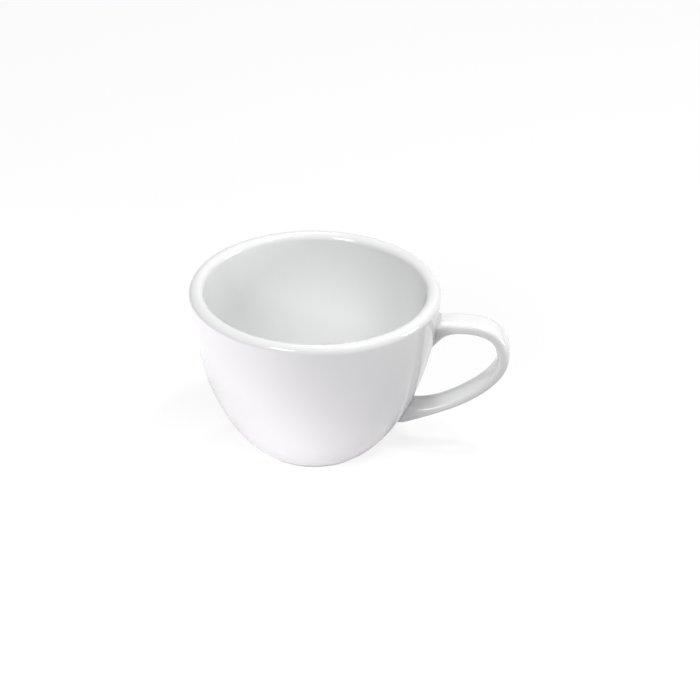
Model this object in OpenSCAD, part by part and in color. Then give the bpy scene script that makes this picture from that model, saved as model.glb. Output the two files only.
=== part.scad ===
// A low white porcelain coffee cup with one strap handle. Lengths are in millimetres.
// The origin is on the cup's axis, at the plane it stands on. Z is up and the handle points along +X.
// Sizes are those of the finished, glazed cup. The clay lies one coat of glaze below them.
// A depth is how far a skin lies below the finished surface: 0 is the glaze that one sees.

/* [Bowl] */
// Height from the table to the top of the lip
cup_height = 63.2; // [57:0.1:72]
// Diameter over the rim
rim_diameter = 90; // [84:0.5:100]
// Thickness of the rounded lip
lip_thickness = 5.2; // [4.6:0.1:6.2]
// Lean of the wall just below the lip, in degrees from upright
lip_lean = 4; // [2:0.5:7]
// Lean of the belly where it meets the foot, in degrees from upright
belly_lean = 46.5; // [42:0.5:50]
// Thickness of the wall low on the belly
wall_thickness = 4.4; // [3.8:0.1:5]
// Thickness of the floor
floor_thickness = 4.8; // [4:0.1:5.8]
// Diameter of the flat middle of the floor
floor_flat_diameter = 18; // [12:0.5:24]

/* [Foot ring] */
// Diameter over the foot ring
foot_diameter = 42; // [38:0.5:47]
// Height of the foot ring below the belly
foot_height = 2.1; // [1.8:0.1:2.8]
// Width of the step from the belly in to the foot ring
foot_step = 2; // [1.5:0.1:2.6]
// Width of the foot ring
foot_width = 4; // [3.2:0.1:5]
// Depth of the recess inside the foot ring
recess_depth = 1.8; // [1.5:0.1:2.2]
// Radius of the hollow where the ring meets the belly, and of the one round the recess
foot_hollow_radius = 0.9; // [0.7:0.05:1.1]
// Radius of the ring's bare edges at the table
foot_edge_radius = 0.6; // [0.3:0.05:0.8]
// Height of the bare band that is wiped free of glaze, above the table
bare_band = 0.7; // [0.4:0.05:0.8]

/* [Handle] */
// Distance from the cup's axis to the outside of the handle's bend
handle_reach = 70.4; // [66:0.1:78]
// Height of the strap's middle where it leaves the bowl at the top
upper_root_height = 50.7; // [48:0.1:52]
// Height of the strap's middle where it comes back to the bowl
lower_root_height = 14.9; // [14:0.1:18]
// Height of the handle's outermost point
bend_height = 39.3; // [36:0.1:42]
// Rise of the strap where it leaves the bowl at the top, in degrees
upper_root_rise = 6; // [0:0.5:9]
// Rise of the strap from its lower root, in degrees
lower_root_rise = 2.5; // [0:0.5:10]
// Width of the strap, across the handle
strap_width = 10.5; // [9:0.1:13]
// Thickness of the strap from the top to its bend
strap_thickness = 4.65; // [4:0.05:5.6]
// Thickness to which the strap has tapered at the bottom
lower_strap_thickness = 3.65; // [3.2:0.05:4.6]
// Squareness of the strap's section, where 2 is an ellipse
strap_squareness = 3.2; // [2:0.1:4]
// Drop of the ridge that runs under the strap from its upper root
upper_web = 4.8; // [3.5:0.1:5.8]
// Length of the strap over which that ridge fades away
upper_web_length = 10.3; // [8.5:0.1:13]
// Bluntness of that ridge, where 1 is a sharp edge
upper_web_bluntness = 1.5; // [1.2:0.1:2.5]
// Extra thickness of the strap at its lower root
lower_web = 4.5; // [3:0.1:5.5]
// Length of the strap over which the lower extra thickness fades away
lower_web_length = 15.5; // [12:0.1:19]
// Extra width of the strap on each side of its roots
root_flare = 0.6; // [0.3:0.1:1.2]
// Length of the strap over which that extra width fades away
root_flare_length = 6; // [4:0.1:8]

/* [Glaze and slip] */
// Thickness of the fired glaze
glaze_thickness = 0.25; // [0.2:0.01:0.35]
// Thickness of the slip that joins the handle to the bowl
slip_thickness = 0.5; // [0.4:0.05:0.8]
// Hairline that is left between layers which are fired together
layer_gap = 0.02; // [0.01:0.005:0.04]

/* [Hidden] */

// Share of the side's height by which its curve keeps to the lip's lean, and to the belly's
lip_pull_share = 0.347;
belly_pull_share = 0.355;
// Share of the way down the side at which the inside leaves it for the floor
floor_leave_share = 0.66;
// Shares of the way to the floor by which the inside's turn keeps to the wall, and to the floor
floor_wall_pull_share = 0.5;
floor_flat_pull_share = 0.45;
// Shares of the handle's reach from the bowl by which the strap keeps to the rise of each root
upper_out_share = 0.437;
lower_out_share = 0.382;
// Shares of the height from each root to the bend by which the strap keeps upright there
upper_bend_share = 1.21;
lower_bend_share = 0.449;
// Share by which the strap's rings crowd towards its roots
crowding_share = 0.6;

// Counts of steps along each line, and of points and rings on the strap
lip_steps = 8;
side_steps = 22;
hollow_steps = 4;
edge_steps = 3;
floor_steps = 8;
strap_points = 24;
strap_rings = 40;
// Rings inside the wall at the upper root
wall_rings = 2;
// Rings from each root that its joint reaches over
joint_rings = 8;
// Halvings of the side's curve that find its place at a height
search_steps = 14;

lip_r = lip_thickness / 2;
lip_centre = [rim_diameter / 2 - lip_r, cup_height - lip_r];
foot_r = foot_diameter / 2;
foot_inner_r = foot_r - foot_width;
floor_height = recess_depth + floor_thickness;
clay_depth = glaze_thickness;
coat_depth = glaze_thickness - layer_gap;
slip_depth = glaze_thickness - slip_thickness;
strap_end_depth = slip_depth - layer_gap;
coat_end_depth = -layer_gap;
bend = [handle_reach - strap_thickness / 2, bend_height];
// Lengths of strap drawn inside the bowl's wall at each root, and cut away there
upper_overrun = strap_thickness;
lower_overrun = lower_strap_thickness + lower_web;

porcelain_color = [0.93, 0.92, 0.9];
bisque_color = [0.88, 0.86, 0.82];
slip_color = [0.84, 0.82, 0.78];
glaze_color = [0.97, 0.97, 0.97];
inside_glaze_color = [0.94, 0.95, 0.96];

function mix(a, b, s) = a + (b - a) * s;
function clamp(x, low, high) = max(low, min(high, x));
function ease(s) = s * s * (3 - 2 * s);
function unit(v) = v / norm(v);
// The way to the left of a direction: outwards, for a line that runs down the cup
function left_of(v) = [-v.y, v.x];
function signed_power(x, p) = sign(x) * pow(abs(x), p);
function backwards(points) = [for (i = [len(points) - 1:-1:0]) points[i]];
function all_but_first(points) = [for (i = [1:len(points) - 1]) points[i]];
function arc(centre, r, from, to, steps) =
    [for (i = [0:steps]) let (a = mix(from, to, i / steps)) centre + r * [cos(a), sin(a)]];

// A cubic curve's point and direction
function curve_at(p, t) =
    pow(1 - t, 3) * p[0] + 3 * pow(1 - t, 2) * t * p[1] + 3 * (1 - t) * t * t * p[2] + pow(t, 3) * p[3];
function direction_at(p, t) =
    unit(pow(1 - t, 2) * (p[1] - p[0]) + 2 * (1 - t) * t * (p[2] - p[1]) + t * t * (p[3] - p[2]));

// The finished side, as one curve from the lip down to the foot's step
side_start = lip_centre + lip_r * [cos(lip_lean), -sin(lip_lean)];
side_end = [foot_r + foot_step, foot_height];
side_drop = side_start.y - side_end.y;
side = [side_start,
        side_start + lip_pull_share * side_drop * [-sin(lip_lean), -cos(lip_lean)],
        side_end + belly_pull_share * side_drop * [sin(belly_lean), cos(belly_lean)],
        side_end];
function side_at(t, depth) = curve_at(side, t) - depth * left_of(direction_at(side, t));

// The wall's thickness falls smoothly from the lip's to the belly's
function wall_at(t) = mix(lip_thickness, wall_thickness, ease(t / floor_leave_share));
function cavity_at(t, depth) = side_at(t, wall_at(t) - depth);

// Outside line of a skin, from the lip's crest down to the foot's hollow
function outside_line(depth) = concat(
    arc(lip_centre, lip_r - depth, 90, -lip_lean, lip_steps),
    [for (i = [1:side_steps]) side_at(i / side_steps, depth)],
    arc([foot_r + foot_hollow_radius, foot_height - foot_hollow_radius],
        foot_hollow_radius + depth, 90, 180, hollow_steps));

// Inside line of a skin, from the lip's crest down to the middle of the floor
function floor_turn(depth) =
    let (from = cavity_at(floor_leave_share, depth))
    let (to = [floor_flat_diameter / 2, floor_height - depth])
    let (way = norm(to - from))
    [from,
     from + floor_wall_pull_share * way * direction_at(side, floor_leave_share),
     to + floor_flat_pull_share * way * [1, 0],
     to];
function inside_line(depth) = concat(
    arc(lip_centre, lip_r - depth, 90, 180 - lip_lean, lip_steps),
    [for (i = [1:side_steps]) cavity_at(floor_leave_share * i / side_steps, depth)],
    [for (i = [1:floor_steps]) curve_at(floor_turn(depth), i / floor_steps)],
    [[0, floor_height - depth]]);

// Line of a skin under the cup, from the foot ring's inner wall in to the axis
function underside_line(depth) = concat(
    arc([foot_inner_r - foot_hollow_radius, recess_depth - foot_hollow_radius],
        foot_hollow_radius + depth, 0, 90, hollow_steps),
    [[0, recess_depth + depth]]);

// The bare clay ring that stands on the table, from its outer wall to its inner wall
function bare_ring_line() =
    let (edge_r = foot_edge_radius)
    concat(arc([foot_r - clay_depth - edge_r, edge_r], edge_r, 0, -90, edge_steps),
           arc([foot_inner_r + clay_depth + edge_r, edge_r], edge_r, -90, -180, edge_steps));

// The solid that an outside skin encloses
module filled_to(depth) {
    rotate_extrude()
        polygon(concat([[0, foot_height], [0, cup_height - depth]], outside_line(depth)));
}

// A shell between two outside skins
module outside_shell(outer_depth, inner_depth) {
    outer = outside_line(outer_depth);
    inner = outside_line(inner_depth);
    last = len(outer) - 1;
    rotate_extrude()
        polygon(concat(outer,
                       [[outer[last].x, bare_band], [inner[last].x, bare_band]],
                       backwards(inner)));
}

// Place on the side's curve, from 0 at the lip to 1 at the foot, at which a skin has a height
function side_place(z, depth, low = 0, high = 1, steps = search_steps) =
    let (middle = (low + high) / 2)
    steps == 0 ? middle :
    side_at(middle, depth).y > z ? side_place(z, depth, middle, high, steps - 1) :
    side_place(z, depth, low, middle, steps - 1);
function wall_r_at(z, depth) = side_at(side_place(z, depth), depth).x;

// The strap's middle line: two curves that meet at the bend
upper_root = [wall_r_at(upper_root_height, 0), upper_root_height];
lower_root = [wall_r_at(lower_root_height, 0), lower_root_height];
upper_way = [cos(upper_root_rise), sin(upper_root_rise)];
lower_way = [cos(lower_root_rise), sin(lower_root_rise)];
upper_curve = [upper_root,
               upper_root + upper_out_share * (bend.x - upper_root.x) * upper_way,
               bend + upper_bend_share * (upper_root.y - bend.y) * [0, 1],
               bend];
lower_curve = [bend,
               bend - lower_bend_share * (bend.y - lower_root.y) * [0, 1],
               lower_root + lower_out_share * (bend.x - lower_root.x) * lower_way,
               lower_root];
// Place of a ring, from 0 at the upper root over 1 at the bend to 2 at the lower root
function ring_place(i) =
    let (s = i / strap_rings)
    2 * mix(s, (1 - cos(180 * s)) / 2, crowding_share);
function strap_middle(i) =
    let (s = ring_place(i))
    s < 1 ? curve_at(upper_curve, s) : curve_at(lower_curve, s - 1);
function strap_way(i) =
    let (s = ring_place(i))
    s < 1 ? direction_at(upper_curve, s) : direction_at(lower_curve, s - 1);

// Running lengths along the strap from the upper root to each ring
function running_lengths(i = 1, total = 0) =
    i > strap_rings ? [total] :
    concat([total], running_lengths(i + 1, total + norm(strap_middle(i) - strap_middle(i - 1))));
strap_run = running_lengths();
function fade(x) = pow(max(1 - x, 0), 2);
function lower_extra(i) = lower_web * fade((strap_run[strap_rings] - strap_run[i]) / lower_web_length);
function tapered_thickness(i) =
    mix(strap_thickness, lower_strap_thickness, ease(clamp(ring_place(i) - 1, 0, 1)));
function side_extra(i) =
    root_flare * (fade(strap_run[i] / root_flare_length)
                  + fade((strap_run[strap_rings] - strap_run[i]) / root_flare_length));

// One ring of the strap's skin: a rounded oblong across the strap's way, with a ridge on its inner side.
// The ridge depends on the run from the upper root, which is below zero inside the wall.
function strap_ring(i, middle, depth, run) =
    let (over = left_of(strap_way(i)))
    let (half_width = strap_width / 2 + side_extra(i) - depth)
    let (half_thickness = (tapered_thickness(i) + lower_extra(i)) / 2 - depth)
    let (ridge = upper_web * fade(run / upper_web_length))
    [for (k = [0:strap_points - 1])
        let (angle = 360 * k / strap_points)
        let (share = signed_power(cos(angle), 2 / strap_squareness))
        let (drop = sin(angle) < 0 ? ridge * (1 - pow(abs(share), upper_web_bluntness)) : 0)
        let (lift = signed_power(sin(angle), 2 / strap_squareness) * half_thickness - drop)
        [middle.x + lift * over.x, share * half_width, middle.y + lift * over.y]];
// The rings from one number to another, with more inside the wall at each root that they reach
function strap_skin(depth, from, to) = concat(
    from > 0 ? [] :
    [for (j = [wall_rings:-1:1])
        let (run = -upper_overrun * j / wall_rings)
        strap_ring(0, upper_root + run * upper_way, depth, run)],
    [for (i = [from:to]) strap_ring(i, strap_middle(i), depth, strap_run[i])],
    to < strap_rings ? [] :
    [strap_ring(to, lower_root - lower_overrun * lower_way, depth, strap_run[to])]);

module strap(depth, from = 0, to = strap_rings) {
    rings = strap_skin(depth, from, to);
    n = strap_points;
    last = len(rings) - 1;
    sides = [for (r = [0:last - 1], k = [0:n - 1], half = [0, 1])
        let (a = r * n + k)
        let (b = r * n + (k + 1) % n)
        half == 0 ? [a, a + n, b] : [b, a + n, b + n]];
    ends = [[for (k = [0:n - 1]) k], [for (k = [n - 1:-1:0]) last * n + k]];
    polyhedron(points = [for (ring = rings, p = ring) p], faces = concat(sides, ends), convexity = 4);
}

module upper_root_strap(depth) {
    strap(depth, 0, joint_rings);
}

module lower_root_strap(depth) {
    strap(depth, strap_rings - joint_rings, strap_rings);
}

// The cast and turned porcelain body: lip, wall, floor and foot ring in one piece of clay
module bowl() {
    color(bisque_color)
    rotate_extrude()
        polygon(concat(backwards(outside_line(clay_depth)),
                       all_but_first(inside_line(clay_depth)),
                       backwards(underside_line(clay_depth)),
                       backwards(bare_ring_line())));
}

// The strap handle, cut at each root to the bowl's wall, less the slip
module handle() {
    color(porcelain_color)
    difference() {
        strap(clay_depth);
        filled_to(strap_end_depth);
    }
}

// The slip that was brushed on before the handle was pressed to the bowl
module upper_slip_joint() {
    color(slip_color)
    intersection() {
        upper_root_strap(clay_depth);
        outside_shell(slip_depth, coat_depth);
    }
}

module lower_slip_joint() {
    color(slip_color)
    intersection() {
        lower_root_strap(clay_depth);
        outside_shell(slip_depth, coat_depth);
    }
}

// The glaze over the outside, from the lip's crest to the wiped band, open where the handle is joined
module outside_glaze() {
    color(glaze_color)
    difference() {
        outside_shell(0, coat_depth);
        upper_root_strap(coat_depth);
        lower_root_strap(coat_depth);
    }
}

// The glaze that was poured over the inside, up to the lip's crest
module inside_glaze() {
    color(inside_glaze_color)
    rotate_extrude()
        polygon(concat(inside_line(0), backwards(inside_line(coat_depth))));
}

// The handle's glaze, which runs up to the bowl's
module handle_glaze() {
    color(glaze_color)
    difference() {
        strap(0);
        strap(coat_depth);
        filled_to(coat_end_depth);
    }
}

// The patch of glaze in the recess inside the bare foot ring
module underside_glaze() {
    outer = underside_line(0);
    inner = underside_line(coat_depth);
    color(glaze_color)
    rotate_extrude()
        polygon(concat([[inner[0].x, bare_band], [outer[0].x, bare_band]], outer, backwards(inner)));
}

bowl();
handle();
upper_slip_joint();
lower_slip_joint();
outside_glaze();
inside_glaze();
handle_glaze();
underside_glaze();
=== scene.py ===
import math

import bpy
import numpy as np
from mathutils import Matrix, Vector


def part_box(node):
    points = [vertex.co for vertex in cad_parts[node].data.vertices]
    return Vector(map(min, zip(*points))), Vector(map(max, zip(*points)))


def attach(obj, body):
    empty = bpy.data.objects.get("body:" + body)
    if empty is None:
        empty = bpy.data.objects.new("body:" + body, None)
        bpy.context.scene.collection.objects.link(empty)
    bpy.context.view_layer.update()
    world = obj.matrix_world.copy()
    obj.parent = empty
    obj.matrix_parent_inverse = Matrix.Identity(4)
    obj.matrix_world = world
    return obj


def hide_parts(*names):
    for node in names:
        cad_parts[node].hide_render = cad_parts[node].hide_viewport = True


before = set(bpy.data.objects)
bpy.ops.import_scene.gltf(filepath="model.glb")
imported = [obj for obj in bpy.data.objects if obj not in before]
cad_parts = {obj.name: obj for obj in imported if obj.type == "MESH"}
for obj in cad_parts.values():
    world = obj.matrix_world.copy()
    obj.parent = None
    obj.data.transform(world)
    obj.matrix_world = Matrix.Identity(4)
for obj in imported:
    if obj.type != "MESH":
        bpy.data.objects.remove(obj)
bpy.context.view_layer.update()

# A low white porcelain coffee cup with one strap handle. Lengths are in metres.
# The frame's own nodes are the clay and glaze solids. Smooth pieces of the same sizes stand for
# those that show.

MM = 0.001

# Sizes that come from the frame
cup_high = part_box("outside_glaze")[1]
handle_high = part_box("handle_glaze")[1]
recess_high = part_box("underside_glaze")[1]
cup_height = cup_high.z
rim_r = cup_high.y
handle_reach = handle_high.x

# Bowl
lip_r = 2.6 * MM
lip_lean = math.radians(4)
belly_lean = math.radians(46.5)
wall_thickness = 4.4 * MM
floor_thickness = 4.8 * MM
floor_flat_r = 9 * MM
lip_pull_share = 0.347
belly_pull_share = 0.355
floor_leave_share = 0.66
floor_wall_pull_share = 0.5
floor_flat_pull_share = 0.45

# Foot ring
foot_r = 21 * MM
foot_height = 2.1 * MM
foot_step = 2 * MM
recess_depth = 1.8 * MM
foot_hollow_r = 0.9 * MM
foot_edge_r = 0.6 * MM
bare_band = 0.7 * MM
# Setback of the rounding where the belly turns in to the foot's step
step_rounding = 0.55 * MM

# Handle
upper_root_height = 50.7 * MM
lower_root_height = 14.9 * MM
bend_height = 39.3 * MM
upper_root_rise = math.radians(6)
lower_root_rise = math.radians(2.5)
strap_width = 10.5 * MM
strap_thickness = 4.65 * MM
lower_strap_thickness = 3.65 * MM
strap_squareness = 3.2
upper_web = 4.8 * MM
upper_web_length = 10.3 * MM
upper_web_bluntness = 1.5
lower_web = 4.5 * MM
lower_web_length = 15.5 * MM
root_flare = 0.6 * MM
root_flare_length = 6 * MM
upper_out_share = 0.437
lower_out_share = 0.382
upper_bend_share = 1.21
lower_bend_share = 0.449
# Radius of the hollow that the slip and glaze leave round each root
root_hollow_r = 0.9 * MM

# Coats
# Depth of the clay below the finished surface, and the thickness of the glaze over it
clay_depth = 0.25 * MM
coat_thickness = 0.23 * MM
foot_inner_r = recess_high.y - coat_thickness
# How sharply a surface bends where its glaze counts as fully pooled or fully thin, as the half of a radius
pooling_bend = 0.5 * MM
# Pooling past which painted shade starts to grey the glaze in sharp hollows, and at which it is darkest
painted_shade_start_share = 0.53
painted_shade_full_share = 0.7
weld_distance = 0.001 * MM

# Counts of faces
ROUND_SIDES = 208
STRAP_SIDES = 96
STRAP_ROWS = 76
HOLLOW_ROWS = 7
PATCH_ROWS = 5
ABOVE_WINDOWS_ROWS = 2
BETWEEN_WINDOWS_ROWS = 9
BELOW_WINDOWS_ROWS = 5
LIP_ROWS = 24
WALL_ROWS = 30
FLOOR_TURN_ROWS = 16
FLOOR_ROWS = 5
FOOT_WALL_ROWS = 3
FOOT_HOLLOW_ROWS = 6
FOOT_TURN_ROWS = 5
CLAY_SIDE_ROWS = 48
RECESS_ROWS = 10
SMALL_EDGE_ROWS = 8
# Steps in which the side's curve and the strap's line are measured
SIDE_STEPS = 4000
STRAP_STEPS = 2000
# How far the strap's rows draw together towards its roots: 0 is evenly spaced
row_easing = 0.5
# Halvings in the search for where a root's hollow starts
SEARCH_STEPS = 30


def mix(a, b, share):
    return a + (b - a) * share


def ease(share):
    return share * share * (3 - 2 * share)


def unit(v):
    return v / np.linalg.norm(v, axis=-1, keepdims=True)


def left_of(way):
    """Directions to the left of others, which is outwards for a line that runs down the cup."""
    return np.stack([-way[..., 1], way[..., 0]], -1)


def signed_power(x, power):
    return np.sign(x) * np.abs(x) ** power


def turned_way(angle):
    return np.array([math.cos(angle), math.sin(angle)])


def curve_at(p, t):
    """Points of a cubic curve at an array of places from 0 to 1."""
    t = np.asarray(t, float)[..., None]
    return (1 - t) ** 3 * p[0] + 3 * (1 - t) ** 2 * t * p[1] + 3 * (1 - t) * t ** 2 * p[2] + t ** 3 * p[3]


def way_at(p, t):
    """Directions of a cubic curve at an array of places."""
    t = np.asarray(t, float)[..., None]
    return unit((1 - t) ** 2 * (p[1] - p[0]) + 2 * (1 - t) * t * (p[2] - p[1]) + t ** 2 * (p[3] - p[2]))


def arc(centre, r, start, end, steps):
    """Points on an arc, with its angles in degrees."""
    angle = np.radians(np.linspace(start, end, steps + 1))
    return np.array(centre) + r * np.stack([np.cos(angle), np.sin(angle)], -1)


# The finished side, as one curve from the lip down to the foot's step, in radius and height
lip_centre = np.array([rim_r - lip_r, cup_height - lip_r])
side_start = lip_centre + lip_r * turned_way(-lip_lean)
side_end = np.array([foot_r + foot_step, foot_height])
side_drop = side_start[1] - side_end[1]
side = [
    side_start,
    side_start - lip_pull_share * side_drop * np.array([math.sin(lip_lean), math.cos(lip_lean)]),
    side_end + belly_pull_share * side_drop * np.array([math.sin(belly_lean), math.cos(belly_lean)]),
    side_end,
]


def side_at(t):
    return curve_at(side, t)


def cavity_at(t):
    """The inside of the wall, whose thickness falls smoothly from the lip's to the belly's."""
    wall = mix(2 * lip_r, wall_thickness, ease(np.clip(t / floor_leave_share, 0, 1)))
    return side_at(t) - wall[..., None] * left_of(way_at(side, t))


fine_places = np.linspace(0, 1, SIDE_STEPS + 1)
side_points = side_at(fine_places)
side_runs = np.concatenate([[0], np.cumsum(np.linalg.norm(np.diff(side_points, axis=0), axis=1))])


# Place on the side at which the rounding to the foot's step starts
rounding_place = 1 - step_rounding / side_runs[-1]


def side_places(start, end, steps):
    """Places on the side, evenly spread along it between two others."""
    runs = np.linspace(*np.interp([start, end], fine_places, side_runs), steps + 1)
    return np.interp(runs, side_runs, fine_places)


def side_place_at(height):
    return float(np.interp(-height, -side_points[:, 1], fine_places))


def nearest_side(points):
    """For points in space: their distance outside the finished side, and the place on it that is nearest."""
    flat = np.stack([np.hypot(points[:, 0], points[:, 1]), points[:, 2]], -1)
    start, step = side_points[:-1], np.diff(side_points, axis=0)
    share = ((flat[:, None] - start) * step).sum(-1) / (step ** 2).sum(-1)
    share = np.clip(share, 0, 1)
    away = flat[:, None] - (start + share[..., None] * step)
    best = np.argmin((away ** 2).sum(-1), axis=1)
    each = np.arange(len(points))
    nearest_away = away[each, best]
    outward = left_of(unit(step[best]))
    return (nearest_away * outward).sum(-1), (best + share[each, best]) / SIDE_STEPS


# The strap's middle line, as two curves that meet at the bend, in X and Z
bend = np.array([handle_reach - strap_thickness / 2, bend_height])
upper_root = np.array([side_at(side_place_at(upper_root_height))[0], upper_root_height])
lower_root = np.array([side_at(side_place_at(lower_root_height))[0], lower_root_height])
up = np.array([0.0, 1.0])
upper_curve = [
    upper_root,
    upper_root + upper_out_share * (bend[0] - upper_root[0]) * turned_way(upper_root_rise),
    bend + upper_bend_share * (upper_root[1] - bend[1]) * up,
    bend,
]
lower_curve = [
    bend,
    bend - lower_bend_share * (bend[1] - lower_root[1]) * up,
    lower_root + lower_out_share * (bend[0] - lower_root[0]) * turned_way(lower_root_rise),
    lower_root,
]
# Length of the strap's straight run beyond a root, for each step of 1 in place
beyond_root = 10 * MM


def strap_line(place):
    """The strap's middle points and directions. Place 0 is the upper root, 1 the bend, 2 the lower root."""
    held = np.clip(place, 0, 2)
    upper_t, lower_t = np.clip(held, 0, 1), np.clip(held - 1, 0, 1)
    on_upper = (held <= 1)[..., None]
    middle = np.where(on_upper, curve_at(upper_curve, upper_t), curve_at(lower_curve, lower_t))
    way = np.where(on_upper, way_at(upper_curve, upper_t), way_at(lower_curve, lower_t))
    return middle + ((place - held) * beyond_root)[..., None] * way, way


strap_places = np.linspace(0, 2, STRAP_STEPS + 1)
strap_steps = np.linalg.norm(np.diff(strap_line(strap_places)[0], axis=0), axis=1)
strap_runs = np.concatenate([[0], np.cumsum(strap_steps)])


def strap_skin(place, angle):
    """Points of the strap's finished skin, at places along it and angles round its rounded oblong section.
    A ridge runs under it from the upper root, and grows on into the wall."""
    middle, way = strap_line(place)
    over = left_of(way)
    run = np.interp(place, strap_places, strap_runs)
    run_back = strap_runs[-1] - run
    run_in_wall = np.minimum(place, 0) * beyond_root
    ridge = upper_web * np.clip(1 - (run + run_in_wall) / upper_web_length, 0, None) ** 2
    lower_extra = lower_web * np.clip(1 - run_back / lower_web_length, 0, 1) ** 2
    upper_flare = np.clip(1 - run / root_flare_length, 0, 1) ** 2
    lower_flare = np.clip(1 - run_back / root_flare_length, 0, 1) ** 2
    half_width = strap_width / 2 + root_flare * (upper_flare + lower_flare)
    tapered = mix(strap_thickness, lower_strap_thickness, ease(np.clip(place - 1, 0, 1)))
    half_thickness = (tapered + lower_extra) / 2
    share = signed_power(np.cos(angle), 2 / strap_squareness)
    drop = np.where(np.sin(angle) < 0, ridge * (1 - np.abs(share) ** upper_web_bluntness), 0)
    lift = signed_power(np.sin(angle), 2 / strap_squareness) * half_thickness - drop
    lifted = middle + lift[..., None] * over
    return np.stack([lifted[..., 0], share * half_width, lifted[..., 1]], -1)


def strap_outwards(place, angle, step=0.01):
    """Directions that point straight out of the strap's skin."""
    along = strap_skin(place + step, angle) - strap_skin(place - step, angle)
    round_it = strap_skin(place, angle + step) - strap_skin(place, angle - step)
    return unit(np.cross(round_it, along))


strap_angles = np.arange(STRAP_SIDES) * 2 * math.pi / STRAP_SIDES


def root_hollow(deep_place, far_place):
    """The hollow round a root, as a ball would press it. Gives the places on the strap at which it starts,
    its rows of points from there to the bowl, and the angles and places at which they end on the side."""
    deep = np.full(STRAP_SIDES, float(deep_place))
    far = np.full(STRAP_SIDES, float(far_place))
    for _ in range(SEARCH_STEPS):
        middle = (deep + far) / 2
        ball = strap_skin(middle, strap_angles) + root_hollow_r * strap_outwards(middle, strap_angles)
        touches = nearest_side(ball)[0] < root_hollow_r
        deep, far = np.where(touches, middle, deep), np.where(touches, far, middle)
    start = strap_skin(far, strap_angles)
    ball = start + root_hollow_r * strap_outwards(far, strap_angles)
    side_t = nearest_side(ball)[1]
    turn = np.arctan2(ball[:, 1], ball[:, 0])
    end = side_skin(turn, side_t)
    from_ball, to_ball = unit(start - ball), unit(end - ball)
    opening = np.arccos(np.clip((from_ball * to_ball).sum(-1), -1, 1))[:, None]
    rows = []
    for i in range(HOLLOW_ROWS + 1):
        share = i / HOLLOW_ROWS
        way = np.sin((1 - share) * opening) * from_ball + np.sin(share * opening) * to_ball
        rows.append(ball + root_hollow_r * way / np.sin(opening))
    return far, rows, turn, side_t


def side_skin(turn, t):
    """Points of the finished side at angles round the cup and places down it."""
    flat = side_at(t)
    return np.stack([flat[..., 0] * np.cos(turn), flat[..., 0] * np.sin(turn), flat[..., 1]], -1)


class Skin:
    """Points and four-sided faces that are gathered for one mesh."""

    def __init__(self):
        self.points = []
        self.faces = []

    def add(self, points):
        """Takes one row of points and gives their numbers."""
        first = len(self.points)
        self.points.extend(points)
        return np.arange(first, first + len(points))

    def join(self, row, next_row, closed=True, skip=()):
        """Lays faces between two rows of the same length, except those that start at a skipped column."""
        count = len(row)
        for i in range(count if closed else count - 1):
            j = (i + 1) % count
            if i not in skip:
                self.faces.append((row[i], row[j], next_row[j], next_row[i]))

    def fill(self, row, centre):
        """Closes a round row with three-sided faces to one point."""
        tip = self.add([centre])[0]
        for i in range(len(row)):
            self.faces.append((row[i], row[(i + 1) % len(row)], tip))

    def mesh(self, name):
        points = np.array(self.points)
        used = np.array(sorted({i for face in self.faces for i in face}))
        new_number = np.full(len(points), -1)
        new_number[used] = np.arange(len(used))
        faces = [[int(new_number[i]) for i in face] for face in self.faces]
        made = bpy.data.meshes.new(name)
        made.from_pydata(points[used].tolist(), [], faces)
        made.validate()
        made.shade_smooth()
        return made


def turned_row(flat):
    """One round row of points at a radius and height."""
    turn = np.arange(ROUND_SIDES) * 2 * math.pi / ROUND_SIDES
    return np.stack([flat[0] * np.cos(turn), flat[0] * np.sin(turn), np.full(ROUND_SIDES, flat[1])], -1)


class Window:
    """The part of the side's grid that is left open round a root, and is filled in to the root's hollow.
    The strap's angles run round it upwards first at the upper root, and downwards first at the lower one."""

    def __init__(self, top, bottom, rows, columns, upwards):
        self.top = side_place_at(top)
        self.bottom = side_place_at(bottom)
        self.rows = rows
        self.half_columns = columns // 2
        self.upwards = upwards
        self.places = side_places(self.top, self.bottom, rows)

    def columns_left_open(self):
        return [i % ROUND_SIDES for i in range(-self.half_columns, self.half_columns)]

    def edge(self, row_numbers):
        """Numbers, angles and places of the grid's points round the window, in the strap's own order."""
        half, rows, middle = self.half_columns, self.rows, self.rows // 2
        path = [(half, middle + i) for i in range(middle)]
        path += [(half - i, rows) for i in range(2 * half)]
        path += [(-half, rows - i) for i in range(rows)]
        path += [(-half + i, 0) for i in range(2 * half)]
        path += [(half, i) for i in range(rows - middle)]
        if self.upwards:
            path = [(column, rows - row) for column, row in path]
        numbers = [row_numbers[row][column % ROUND_SIDES] for column, row in path]
        turn = np.array([column * 2 * math.pi / ROUND_SIDES for column, row in path])
        place = np.array([self.places[row] for column, row in path])
        return np.array(numbers), turn, place


upper_window = Window(top=59.3 * MM, bottom=38.6 * MM, rows=28, columns=20, upwards=True)
lower_window = Window(top=28.5 * MM, bottom=5.6 * MM, rows=22, columns=26, upwards=False)


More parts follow.
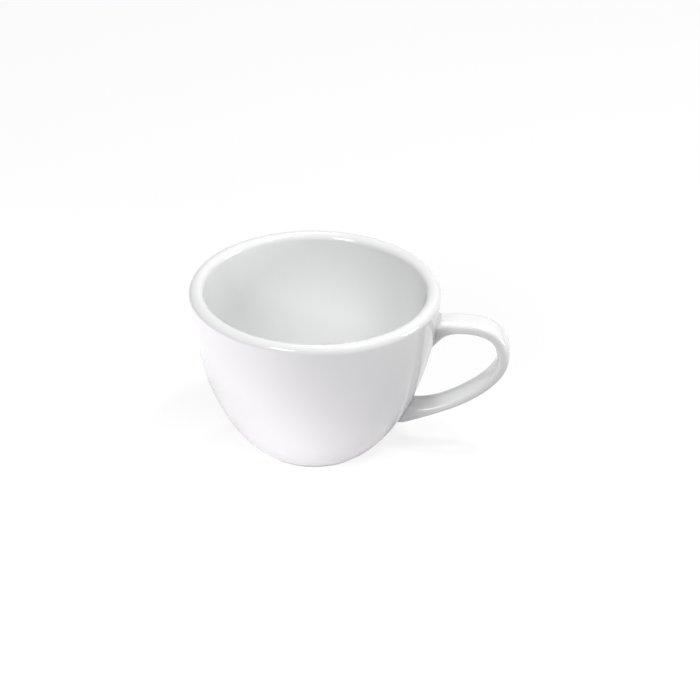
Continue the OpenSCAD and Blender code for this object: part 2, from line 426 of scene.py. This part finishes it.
def coat_skin():
    """The outer skin of the glaze: foot, belly, lip, inside and handle as one surface, open at the foot."""
    skin = Skin()
    places = np.concatenate([
        side_places(0, upper_window.top, ABOVE_WINDOWS_ROWS)[1:-1],
        upper_window.places,
        side_places(upper_window.bottom, lower_window.top, BETWEEN_WINDOWS_ROWS)[1:-1],
        lower_window.places,
        side_places(lower_window.bottom, 1, BELOW_WINDOWS_ROWS)[1:-1],
    ])
    foot = foot_line()
    flats = [*foot, *side_at(places)[::-1], *lip_line(), *inside_line()]
    first_side = len(foot)
    rows = [skin.add(turned_row(flat)) for flat in flats]
    side_rows = rows[first_side:first_side + len(places)][::-1]
    open_columns = {}
    row_numbers = {}
    for window in (upper_window, lower_window):
        top = int(np.argmin(np.abs(places - window.top)))
        row_numbers[window] = side_rows[top:top + window.rows + 1]
        for row in side_rows[top + 1:top + window.rows + 1]:
            open_columns[row[0]] = window.columns_left_open()
    for row, next_row in zip(rows, rows[1:]):
        skin.join(row, next_row, skip=open_columns.get(row[0], ()))
    skin.fill(rows[-1], (0, 0, recess_depth + floor_thickness))

    upper_place, upper_rows, upper_turn, upper_t = root_hollow(deep_place=-1, far_place=0.7)
    lower_place, lower_rows, lower_turn, lower_t = root_hollow(deep_place=3, far_place=1.3)
    strap_rows = []
    for i in range(1, STRAP_ROWS):
        eased = (1 - math.cos(math.pi * i / STRAP_ROWS)) / 2
        share = mix(i / STRAP_ROWS, eased, row_easing)
        strap_rows.append(skin.add(strap_skin(mix(upper_place, lower_place, share), strap_angles)))
    upper_numbers = [skin.add(points) for points in upper_rows]
    lower_numbers = [skin.add(points) for points in lower_rows]
    chain = [*upper_numbers[::-1], *strap_rows, *lower_numbers]
    for row, next_row in zip(chain, chain[1:]):
        skin.join(row, next_row)
    close_window(skin, upper_window, row_numbers[upper_window], upper_numbers[-1], upper_turn, upper_t)
    close_window(skin, lower_window, row_numbers[lower_window], lower_numbers[-1], lower_turn, lower_t)
    return skin


def close_window(skin, window, row_numbers, landing, landing_turn, landing_t):
    """Fills the side between a window's edge and the hollow that lands inside it."""
    edge, edge_turn, edge_t = window.edge(row_numbers)
    rows = [landing]
    for i in range(1, PATCH_ROWS):
        share = i / PATCH_ROWS
        rows.append(skin.add(side_skin(mix(landing_turn, edge_turn, share), mix(landing_t, edge_t, share))))
    rows.append(edge)
    for row, next_row in zip(rows, rows[1:]):
        if window.upwards:
            skin.join(next_row, row)
        else:
            skin.join(row, next_row)


def foot_line():
    """The glazed line of the foot, from its lower edge up to the belly."""
    hollow_start = foot_height - foot_hollow_r
    wall = [[foot_r, z] for z in np.linspace(bare_band, hollow_start, FOOT_WALL_ROWS + 1)[:-1]]
    painted_shade = arc((foot_r + foot_hollow_r, hollow_start), foot_hollow_r, 180, 90, FOOT_HOLLOW_ROWS)
    belly = side_at(rounding_place)
    step = np.array([side_end[0] - step_rounding, foot_height])
    shares = np.linspace(0, 1, FOOT_TURN_ROWS + 1)
    turn = [mix(mix(step, side_end, s), mix(side_end, belly, s), s) for s in shares]
    return [*wall, *painted_shade, *turn]


def lip_line():
    """The lip's rounding, from the outside over its crest to the inside."""
    return arc(lip_centre, lip_r, -math.degrees(lip_lean), 180 - math.degrees(lip_lean), LIP_ROWS)


def inside_line():
    """The line of the inside, from just below the lip to just before the middle of the floor."""
    wall = cavity_at(np.linspace(0, floor_leave_share, WALL_ROWS + 1)[1:])
    start = wall[-1]
    end = np.array([floor_flat_r, recess_depth + floor_thickness])
    reach = np.linalg.norm(end - start)
    turn = [
        start,
        start + floor_wall_pull_share * reach * way_at(side, floor_leave_share),
        end + floor_flat_pull_share * reach * np.array([1, 0]),
        end,
    ]
    floor = [[x, end[1]] for x in np.linspace(floor_flat_r, 0, FLOOR_ROWS + 1)[1:-1]]
    return [*wall, *curve_at(turn, np.linspace(0, 1, FLOOR_TURN_ROWS + 1)[1:]), *floor]


def inset(line, depth):
    """A section line that runs up the outside and down the inside, moved below the finished surface."""
    line = np.array(line)
    way = unit(np.diff(line, axis=0))
    way = unit(np.concatenate([way[:1], way[:-1] + way[1:], way[-1:]]))
    return line + depth * left_of(way)


def clay_line():
    """The bowl's clay in section: out along the recess, round the bare ring, up, over the lip and back in."""
    recess_centre = (foot_inner_r - foot_hollow_r, recess_depth - foot_hollow_r)
    inner_centre = (foot_inner_r + clay_depth + foot_edge_r, foot_edge_r)
    outer_centre = (foot_r - clay_depth - foot_edge_r, foot_edge_r)
    recess = arc(recess_centre, foot_hollow_r + clay_depth, 90, 0, SMALL_EDGE_ROWS)
    inner_edge = arc(inner_centre, foot_edge_r, 180, 270, SMALL_EDGE_ROWS)
    outer_edge = arc(outer_centre, foot_edge_r, -90, 0, SMALL_EDGE_ROWS)
    outside = side_at(side_places(0, rounding_place, CLAY_SIDE_ROWS))[::-1][1:]
    covered = inset([*foot_line(), *outside, *lip_line()[1:], *inside_line()], clay_depth)
    middle_top = [0, recess_depth + floor_thickness - clay_depth]
    return [[0, recess_depth + clay_depth], *recess, *inner_edge, *outer_edge, *covered, middle_top]


def underside_line():
    """The recess's glaze in section: out along its face, down to a bead at the bare ring and back above."""
    centre = (foot_inner_r - foot_hollow_r, recess_depth - foot_hollow_r)
    bead_r = coat_thickness / 2
    face = arc(centre, foot_hollow_r, 90, 0, RECESS_ROWS)
    bead = arc((foot_inner_r + bead_r, bare_band + bead_r), bead_r, 180, 360, SMALL_EDGE_ROWS)
    back = arc(centre, foot_hollow_r + coat_thickness, 0, 90, RECESS_ROWS)
    return [[0, recess_depth], *face, *bead, *back, [0, recess_depth + coat_thickness]]


def put(tree, kind, inputs=None, **settings):
    """Adds a node with its settings, and gives its inputs values or joins them to other nodes' outputs."""
    made = tree.nodes.new(kind)
    for name, value in settings.items():
        setattr(made, name, value)
    for name, value in (inputs or {}).items():
        if isinstance(value, bpy.types.NodeSocket):
            tree.links.new(value, made.inputs[name])
        else:
            made.inputs[name].default_value = value
    return made


def turned_form_tree():
    """Geometry tree: turns a section line round the cup's axis, as the potter's wheel does."""
    tree = bpy.data.node_groups.new("turned_form", "GeometryNodeTree")
    inputs = {"Section": "Geometry", "Sides": "Int", "Weld Distance": "Float", "Finish": "Material"}
    for name, kind in inputs.items():
        tree.interface.new_socket(name, in_out="INPUT", socket_type="NodeSocket" + kind)
    tree.interface.new_socket("Form", in_out="OUTPUT", socket_type="NodeSocketGeometry")
    given = put(tree, "NodeGroupInput").outputs
    size = put(tree, "GeometryNodeAttributeDomainSize", {"Geometry": given["Section"]})
    length = size.outputs["Point Count"]
    columns = put(tree, "ShaderNodeMath", {0: given["Sides"], 1: 1.0}, operation="ADD").outputs[0]
    grid = put(tree, "GeometryNodeMeshGrid", {"Vertices X": columns, "Vertices Y": length}).outputs["Mesh"]
    number = put(tree, "GeometryNodeInputIndex").outputs["Index"]
    turns = put(tree, "ShaderNodeMath", {0: number, 1: length}, operation="DIVIDE").outputs[0]
    column = put(tree, "ShaderNodeMath", {0: turns}, operation="FLOOR").outputs[0]
    before = put(tree, "ShaderNodeMath", {0: column, 1: length}, operation="MULTIPLY").outputs[0]
    row = put(tree, "ShaderNodeMath", {0: number, 1: before}, operation="SUBTRACT").outputs[0]
    point = put(tree, "GeometryNodeSampleIndex", {
        "Geometry": given["Section"],
        "Value": put(tree, "GeometryNodeInputPosition").outputs["Position"],
        "Index": row,
    }, data_type="FLOAT_VECTOR", domain="POINT").outputs["Value"]
    share = put(tree, "ShaderNodeMath", {0: column, 1: given["Sides"]}, operation="DIVIDE").outputs[0]
    angle = put(tree, "ShaderNodeMath", {0: share, 1: 2 * math.pi}, operation="MULTIPLY").outputs[0]
    turned = put(tree, "ShaderNodeVectorRotate", {"Vector": point, "Angle": angle}, rotation_type="Z_AXIS")
    placed = {"Geometry": grid, "Position": turned.outputs[0]}
    form = put(tree, "GeometryNodeSetPosition", placed).outputs["Geometry"]
    welded = put(tree, "GeometryNodeMergeByDistance", {"Geometry": form, "Distance": given["Weld Distance"]})
    smooth = put(tree, "GeometryNodeSetShadeSmooth", {"Geometry": welded.outputs["Geometry"]})
    real = put(tree, "GeometryNodeRealizeInstances", {"Geometry": smooth.outputs["Geometry"]})
    coated = {"Geometry": real.outputs["Geometry"], "Material": given["Finish"]}
    finished = put(tree, "GeometryNodeSetMaterial", coated)
    put(tree, "NodeGroupOutput", {"Form": finished.outputs["Geometry"]})
    return tree


turned_form = turned_form_tree()


def new_object(name, data):
    made = bpy.data.objects.new(name, data)
    bpy.context.scene.collection.objects.link(made)
    return made


def turned_piece(name, section, finish):
    """A plain mesh that the geometry tree turns from a section line of radii and heights."""
    line = bpy.data.meshes.new(name)
    line.from_pydata([(r, 0, z) for r, z in section], [(i, i + 1) for i in range(len(section) - 1)], [])
    piece = new_object(name, line)
    turn = piece.modifiers.new("turned form", "NODES")
    turn.node_group = turned_form
    values = {"Sides": ROUND_SIDES, "Weld Distance": weld_distance, "Finish": finish}
    for item in turned_form.interface.items_tree:
        if item.in_out == "INPUT" and item.name in values:
            turn[item.identifier] = values[item.name]
    ready = bpy.context.evaluated_depsgraph_get()
    piece.data = bpy.data.meshes.new_from_object(piece.evaluated_get(ready))
    piece.modifiers.remove(turn)
    return piece


def keep_pooling(mesh, rounds=10, smoothing=0.5):
    """Keeps how much glaze has pooled at each point: 0 on sharp ridges, a half on flats, 1 in hollows. It
    also masks the glaze's painted shade in sharp hollows.
    """
    count = len(mesh.vertices)
    places = np.empty(count * 3)
    mesh.vertices.foreach_get("co", places)
    places = places.reshape(-1, 3)
    normals = np.empty(count * 3)
    mesh.vertices.foreach_get("normal", normals)
    normals = normals.reshape(-1, 3)
    ends = np.empty(len(mesh.edges) * 2, int)
    mesh.edges.foreach_get("vertices", ends)
    a, b = ends.reshape(-1, 2).T
    sharpness = np.zeros(count)
    neighbours = np.bincount(a, minlength=count) + np.bincount(b, minlength=count)
    step = places[b] - places[a]
    squares = (step ** 2).sum(-1)
    np.add.at(sharpness, a, 2 * (normals[a] * step).sum(-1) / squares)
    np.add.at(sharpness, b, -2 * (normals[b] * step).sum(-1) / squares)
    sharpness /= neighbours
    for _ in range(rounds):
        around = np.zeros(count)
        np.add.at(around, a, sharpness[b])
        np.add.at(around, b, sharpness[a])
        sharpness = mix(sharpness, around / neighbours, smoothing)
    pooling = mesh.attributes.new("pooling", "FLOAT", "POINT")
    pooling.data.foreach_set("value", np.clip(0.5 + sharpness * pooling_bend, 0, 1).astype(np.float32))


def shader_group(name, inputs):
    """A shader node group for a surface, with named sockets, and the outputs of its input node."""
    outputs = {"Color": "Color", "Roughness": "Float", "Height": "Float"}
    tree = bpy.data.node_groups.new(name, "ShaderNodeTree")
    for side_of_group, sockets in (("INPUT", inputs), ("OUTPUT", outputs)):
        for socket, kind in sockets.items():
            tree.interface.new_socket(socket, in_out=side_of_group, socket_type="NodeSocket" + kind)
    return tree, put(tree, "NodeGroupInput").outputs


def noise(tree, where, size, detail=2.0):
    """Soft noise from 0 to 1 whose bumps are about one size wide. The size is a length or a node's output."""
    scale = put(tree, "ShaderNodeMath", {0: 1.0, 1: size}, operation="DIVIDE").outputs[0]
    made = put(tree, "ShaderNodeTexNoise", {"Vector": where, "Scale": scale, "Detail": detail})
    return made.outputs[0]


def pits(tree, where, spacing, inner, outer):
    """A mask of small round spots in a loose net. Each fades out between two shares of the spacing."""
    scale = put(tree, "ShaderNodeMath", {0: 1.0, 1: spacing}, operation="DIVIDE").outputs[0]
    cells = put(tree, "ShaderNodeTexVoronoi", {"Vector": where, "Scale": scale}).outputs["Distance"]
    values = {"Value": cells, "From Min": inner, "From Max": outer, "To Min": 1.0, "To Max": 0.0}
    return put(tree, "ShaderNodeMapRange", values).outputs[0]


def ranged(tree, value, low, high):
    """A value from 0 to 1 spread between two others."""
    return put(tree, "ShaderNodeMapRange", {"Value": value, "To Min": low, "To Max": high}).outputs[0]


def blend_colors(tree, share, first, second):
    """Mixes two colours. The numbers are those of the mix node's sockets for colours."""
    return put(tree, "ShaderNodeMix", {0: share, 6: first, 7: second}, data_type="RGBA").outputs[2]


def glaze_skin_group():
    """How glaze lies: a little cooler where it has pooled, with painted shade that greys sharp hollows such
    as those round the handle's roots, a faint ripple, cloudiness and rare pinholes."""
    inputs = {"Thin Color": "Color", "Pooled Color": "Color", "Painted Hollow Shade": "Color", "Pooling": "Float",
              "Ripple Size": "Float", "Pinhole Spacing": "Float"}
    tree, given = shader_group("glaze_skin", inputs)
    cloud_size = 22 * MM
    cloud_share = 0.12
    pinhole_shares = (0.008, 0.016)
    pinhole_color = (0.45, 0.43, 0.4, 1)
    pinhole_color_share = 0.35
    pinhole_roughness = 0.2
    gloss_patch_size = 9 * MM
    smoothest = 0.035
    roughest = 0.065
    where = put(tree, "ShaderNodeTexCoord").outputs["Object"]
    clouds = noise(tree, where, cloud_size)
    drift = ranged(tree, clouds, -cloud_share, cloud_share)
    drifted = put(tree, "ShaderNodeMath", {0: given["Pooling"], 1: drift}, operation="ADD", use_clamp=True)
    open_color = blend_colors(tree, drifted.outputs[0], given["Thin Color"], given["Pooled Color"])
    # Painted shade: sharp hollows turn to the darker hollow shade colour
    sharp = {"Value": given["Pooling"], "From Min": painted_shade_start_share, "From Max": painted_shade_full_share}
    painted_shade = put(tree, "ShaderNodeMapRange", sharp).outputs[0]
    body = blend_colors(tree, painted_shade, open_color, given["Painted Hollow Shade"])
    holes = pits(tree, where, given["Pinhole Spacing"], *pinhole_shares)
    faint = put(tree, "ShaderNodeMath", {0: holes, 1: pinhole_color_share}, operation="MULTIPLY").outputs[0]
    color = blend_colors(tree, faint, body, pinhole_color)
    ripple = noise(tree, where, given["Ripple Size"], detail=1.0)
    dulled = put(tree, "ShaderNodeMath", {0: holes, 1: pinhole_roughness}, operation="MULTIPLY").outputs[0]
    gloss = ranged(tree, noise(tree, where, gloss_patch_size), smoothest, roughest)
    roughness = put(tree, "ShaderNodeMath", {0: gloss, 1: dulled}, operation="ADD").outputs[0]
    height = put(tree, "ShaderNodeMath", {0: ripple, 1: holes}, operation="SUBTRACT").outputs[0]
    put(tree, "NodeGroupOutput", {"Color": color, "Roughness": roughness, "Height": height})
    return tree


def fired_grain_group():
    """How fired clay looks: a fine tooth, soft clouds of tone and small iron specks."""
    inputs = {"Body Color": "Color", "Cloud Color": "Color", "Grain Size": "Float", "Speck Spacing": "Float",
              "Smoothest": "Float", "Roughest": "Float"}
    tree, given = shader_group("fired_grain", inputs)
    cloud_size = 6 * MM
    speck_shares = (0.05, 0.09)
    speck_color = (0.25, 0.2, 0.16, 1)
    speck_color_share = 0.55
    where = put(tree, "ShaderNodeTexCoord").outputs["Object"]
    tooth = noise(tree, where, given["Grain Size"], detail=4.0)
    clouds = noise(tree, where, cloud_size)
    body = blend_colors(tree, clouds, given["Body Color"], given["Cloud Color"])
    specks = pits(tree, where, given["Speck Spacing"], *speck_shares)
    shown = put(tree, "ShaderNodeMath", {0: specks, 1: speck_color_share}, operation="MULTIPLY").outputs[0]
    color = blend_colors(tree, shown, body, speck_color)
    spread = {"Value": tooth, "To Min": given["Smoothest"], "To Max": given["Roughest"]}
    roughness = put(tree, "ShaderNodeMapRange", spread).outputs[0]
    put(tree, "NodeGroupOutput", {"Color": color, "Roughness": roughness, "Height": tooth})
    return tree


def grouped_material(name, group, depth, values):
    """A material whose colour, roughness and bump of a given depth come from a group."""
    made = bpy.data.materials.new(name)
    made.use_nodes = True
    tree = made.node_tree
    shader = tree.nodes["Principled BSDF"]
    skin = put(tree, "ShaderNodeGroup", values, node_tree=group)
    bump = put(tree, "ShaderNodeBump", {"Height": skin.outputs["Height"], "Distance": depth})
    tree.links.new(skin.outputs["Color"], shader.inputs["Base Color"])
    tree.links.new(skin.outputs["Roughness"], shader.inputs["Roughness"])
    tree.links.new(bump.outputs["Normal"], shader.inputs["Normal"])
    return made


def glaze_material(name, pinhole_spacing):
    # The hollow shade colour is painted shade for sharp hollows
    colors = {"Thin Color": (0.816, 0.811, 0.802, 1), "Pooled Color": (0.786, 0.798, 0.806, 1),
              "Painted Hollow Shade": (0.6, 0.603, 0.606, 1)}
    return grouped_material(name, glaze_skin, depth=0.006 * MM, values={
        **colors, "Pooling": 0.5, "Ripple Size": 5 * MM, "Pinhole Spacing": pinhole_spacing})


def coat_material():
    """Gloss glaze whose pooling was kept on the coat's points."""
    made = glaze_material("glaze", pinhole_spacing=9 * MM)
    tree = made.node_tree
    kept = put(tree, "ShaderNodeAttribute", attribute_name="pooling")
    skin = next(n for n in tree.nodes if n.type == "GROUP")
    tree.links.new(kept.outputs["Fac"], skin.inputs["Pooling"])
    return made


def bisque_material():
    """Bare fired clay, with the rings that turning left and the grey that tables rub on to its foot."""
    made = grouped_material("bisque", fired_grain, depth=0.02 * MM, values={
        "Body Color": (0.8, 0.78, 0.73, 1), "Cloud Color": (0.77, 0.745, 0.69, 1),
        "Grain Size": 0.25 * MM, "Speck Spacing": 1.6 * MM, "Smoothest": 0.5, "Roughest": 0.8})
    fully_worn_height = 0.03 * MM
    unworn_height = 0.2 * MM
    rubbed_patch_size = 3 * MM
    least_rubbed_share = 0.1
    most_rubbed_share = 0.6
    rubbed_color = (0.52, 0.5, 0.47, 1)
    ring_size = 0.35 * MM
    tree = made.node_tree
    shader = tree.nodes["Principled BSDF"]
    skin = next(n for n in tree.nodes if n.type == "GROUP")
    where = put(tree, "ShaderNodeTexCoord").outputs["Object"]
    apart = put(tree, "ShaderNodeSeparateXYZ", {0: where})
    worn = {"Value": apart.outputs["Z"], "From Min": fully_worn_height, "From Max": unworn_height,
            "To Min": 1.0, "To Max": 0.0}
    standing = put(tree, "ShaderNodeMapRange", worn).outputs[0]
    patchy = ranged(tree, noise(tree, where, rubbed_patch_size), least_rubbed_share, most_rubbed_share)
    rubbed = put(tree, "ShaderNodeMath", {0: standing, 1: patchy}, operation="MULTIPLY").outputs[0]
    color = blend_colors(tree, rubbed, skin.outputs["Color"], rubbed_color)
    tree.links.new(color, shader.inputs["Base Color"])
    flat = put(tree, "ShaderNodeCombineXYZ", {"X": apart.outputs["X"], "Y": apart.outputs["Y"]}).outputs[0]
    radius = put(tree, "ShaderNodeVectorMath", {0: flat}, operation="LENGTH").outputs["Value"]
    around = put(tree, "ShaderNodeCombineXYZ", {"X": radius}).outputs[0]
    rings = noise(tree, around, ring_size)
    both = put(tree, "ShaderNodeMath", {0: rings, 1: skin.outputs["Height"]}, operation="ADD").outputs[0]
    bump = next(n for n in tree.nodes if n.type == "BUMP")
    tree.links.new(both, bump.inputs["Height"])
    return made


glaze_skin = glaze_skin_group()
fired_grain = fired_grain_group()
glaze = coat_material()
underside = glaze_material("underside_glaze", pinhole_spacing=4 * MM)
bisque = bisque_material()
porcelain = grouped_material("porcelain", fired_grain, depth=0.01 * MM, values={
    "Body Color": (0.86, 0.85, 0.83, 1), "Cloud Color": (0.84, 0.83, 0.8, 1),
    "Grain Size": 0.2 * MM, "Speck Spacing": 2.5 * MM, "Smoothest": 0.4, "Roughest": 0.6})
slip = grouped_material("slip", fired_grain, depth=0.03 * MM, values={
    "Body Color": (0.82, 0.8, 0.77, 1), "Cloud Color": (0.79, 0.77, 0.73, 1),
    "Grain Size": 0.4 * MM, "Speck Spacing": 2 * MM, "Smoothest": 0.5, "Roughest": 0.75})

# The coat of glaze over the outside, the inside and the handle
coat = new_object("glaze_coat", coat_skin().mesh("glaze_coat"))
keep_pooling(coat.data)
coat.data.materials.append(glaze)
thicken = coat.modifiers.new("coat", "SOLIDIFY")
thicken.thickness = coat_thickness
thicken.offset = -1
thicken.use_even_offset = True
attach(coat, "root")
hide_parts("outside_glaze", "inside_glaze", "handle_glaze")

# The bowl's clay, of which only the foot ring is bare
bowl_clay = turned_piece("bowl_clay", clay_line(), bisque)
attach(bowl_clay, "root")
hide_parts("bowl")

# The glaze in the recess of the foot
underside_coat = turned_piece("underside_coat", underside_line(), underside)
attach(underside_coat, "root")
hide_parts("underside_glaze")

# The handle's clay and its two joints stay as they are in the frame
for name, material in (("handle", porcelain), ("upper_slip_joint", slip), ("lower_slip_joint", slip)):
    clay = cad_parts[name].data
    clay.materials.clear()
    clay.materials.append(material)


# Light
lamp_distance = 1.1
# Azimuth from the camera and elevation in degrees, width, and watts
lamps = {
    "left_lamp": (330, 32, 0.35, 5.3),
    "front_lamp": (60, 62, 0.14, 3.2),
    "right_lamp": (90, 74, 0.14, 4.2),
    "back_lamp": (180, 62, 0.14, 2.1),
    "low_right_lamp": (90, 10, 0.35, 4.4),
}
# Azimuth, distance from the axis, width and strength
glow_pools = (
    (315, 0.06, 0.025, 0.55),
    (0, 0.06, 0.025, 0.9),
    (270, 0.2, 0.07, 2.15),
    (315, 0.2, 0.07, 1.6),
)
world_light = 0.12
table_color = (0.33, 0.318, 0.335, 1)
pool_color = (1, 0.965, 1, 1)
camera_white_share = 0.8
gloss_white_share = 0.1

# Where the camera looks, about half way up the cup on its axis
aim = Vector((0, 0, 30 * MM))
# The camera stands a little to the right of straight in front of the cup, and lamps go by its direction
camera_azimuth = 5.5


def way_to(azimuth, elevation):
    """Direction to a place, in degrees to the right of the camera and up."""
    turn, rise = math.radians(camera_azimuth + azimuth), math.radians(elevation)
    return Vector((math.sin(turn) * math.cos(rise), -math.cos(turn) * math.cos(rise), math.sin(rise)))


def set_camera():
    """A long lens, a little off the picture's centre as the cup is, and hardly tilted."""
    distance = 1.0
    elevation = 30.28
    roll = math.radians(0.486)
    focal_px = 2761.8
    image_px = 700
    aim_px = (314.26, 366.87)
    data = bpy.data.cameras.new("camera")
    data.lens = data.sensor_width * focal_px / image_px
    data.shift_x = (image_px / 2 - aim_px[0]) / image_px
    data.shift_y = (aim_px[1] - image_px / 2) / image_px
    made = new_object("camera", data)
    away = way_to(0, elevation)
    made.location = aim + distance * away
    turn = (-away).to_track_quat("-Z", "Y").to_matrix() @ Matrix.Rotation(roll, 3, "Z")
    made.rotation_euler = turn.to_euler()
    bpy.context.scene.camera = made


def set_lamp(name, azimuth, elevation, width, watts):
    """A square soft lamp that looks at the cup."""
    data = bpy.data.lights.new(name, "AREA")
    data.shape = "SQUARE"
    data.size = width
    data.energy = watts
    made = new_object(name, data)
    made.location = aim + lamp_distance * way_to(azimuth, elevation)
    made.rotation_euler = (aim - made.location).to_track_quat("-Z", "Y").to_euler()


def seen_share(tree, camera, glossy, transmission):
    """The share of its white that a backdrop shows to the camera, in gloss and through glass."""
    path = put(tree, "ShaderNodeLightPath").outputs
    total = None
    shares = {"Is Camera Ray": camera, "Is Glossy Ray": glossy, "Is Transmission Ray": transmission}
    for name, share in shares.items():
        part = put(tree, "ShaderNodeMath", {0: path[name], 1: share}, operation="MULTIPLY").outputs[0]
        if total is not None:
            part = put(tree, "ShaderNodeMath", {0: total, 1: part}, operation="MAXIMUM").outputs[0]
        total = part
    return total


def set_floor():
    """A pale table, lit from below in soft pools at the front and left. It looks white and keeps a shadow."""
    floor = bpy.data.meshes.new("floor")
    reach = 3.0
    corners = [(-reach, -reach, 0), (reach, -reach, 0), (reach, reach, 0), (-reach, reach, 0)]
    floor.from_pydata(corners, [], [(0, 1, 2, 3)])
    table = bpy.data.materials.new("table")
    table.use_nodes = True
    tree = table.node_tree
    tree.nodes.clear()
    where = put(tree, "ShaderNodeTexCoord").outputs["Object"]
    glow = None
    for azimuth, distance, width, strength in glow_pools:
        centre = tuple(distance * way_to(azimuth, 0))
        away = put(tree, "ShaderNodeVectorMath", {0: where, 1: centre}, operation="DISTANCE").outputs["Value"]
        share = put(tree, "ShaderNodeMath", {0: away, 1: width}, operation="DIVIDE").outputs[0]
        square = put(tree, "ShaderNodeMath", {0: share, 1: share}, operation="MULTIPLY").outputs[0]
        fall = put(tree, "ShaderNodeMath", {0: square, 1: -0.5}, operation="MULTIPLY").outputs[0]
        pool = put(tree, "ShaderNodeMath", {0: fall}, operation="EXPONENT").outputs[0]
        lit = put(tree, "ShaderNodeMath", {0: pool, 1: strength}, operation="MULTIPLY").outputs[0]
        if glow is not None:
            lit = put(tree, "ShaderNodeMath", {0: glow, 1: lit}, operation="ADD").outputs[0]
        glow = lit
    color = blend_colors(tree, seen_share(tree, 1.0, 1.0, 1.0), table_color, (1, 1, 1, 1))
    matt = put(tree, "ShaderNodeBsdfDiffuse", {"Color": color}).outputs[0]
    below = put(tree, "ShaderNodeEmission", {"Color": pool_color, "Strength": glow}).outputs[0]
    real = put(tree, "ShaderNodeAddShader", {0: matt, 1: below}).outputs[0]
    white = put(tree, "ShaderNodeEmission").outputs[0]
    whiteness = seen_share(tree, camera_white_share, gloss_white_share, 1.0)
    mixed = put(tree, "ShaderNodeMixShader", {0: whiteness, 1: real, 2: white}).outputs[0]
    put(tree, "ShaderNodeOutputMaterial", {"Surface": mixed})
    floor.materials.append(table)
    new_object("floor", floor)


def set_world():
    """Even light from all round, which looks white itself."""
    world = bpy.data.worlds.new("world")
    bpy.context.scene.world = world
    world.use_nodes = True
    tree = world.node_tree
    tree.nodes.clear()
    strength = ranged(tree, seen_share(tree, 1.0, 1.0, 1.0), world_light, 1.0)
    back = put(tree, "ShaderNodeBackground", {"Strength": strength}).outputs[0]
    put(tree, "ShaderNodeOutputWorld", {"Surface": back})


set_camera()
set_floor()
set_world()
for name, values in lamps.items():
    set_lamp(name, *values)
bpy.context.scene.view_settings.view_transform = "Standard"
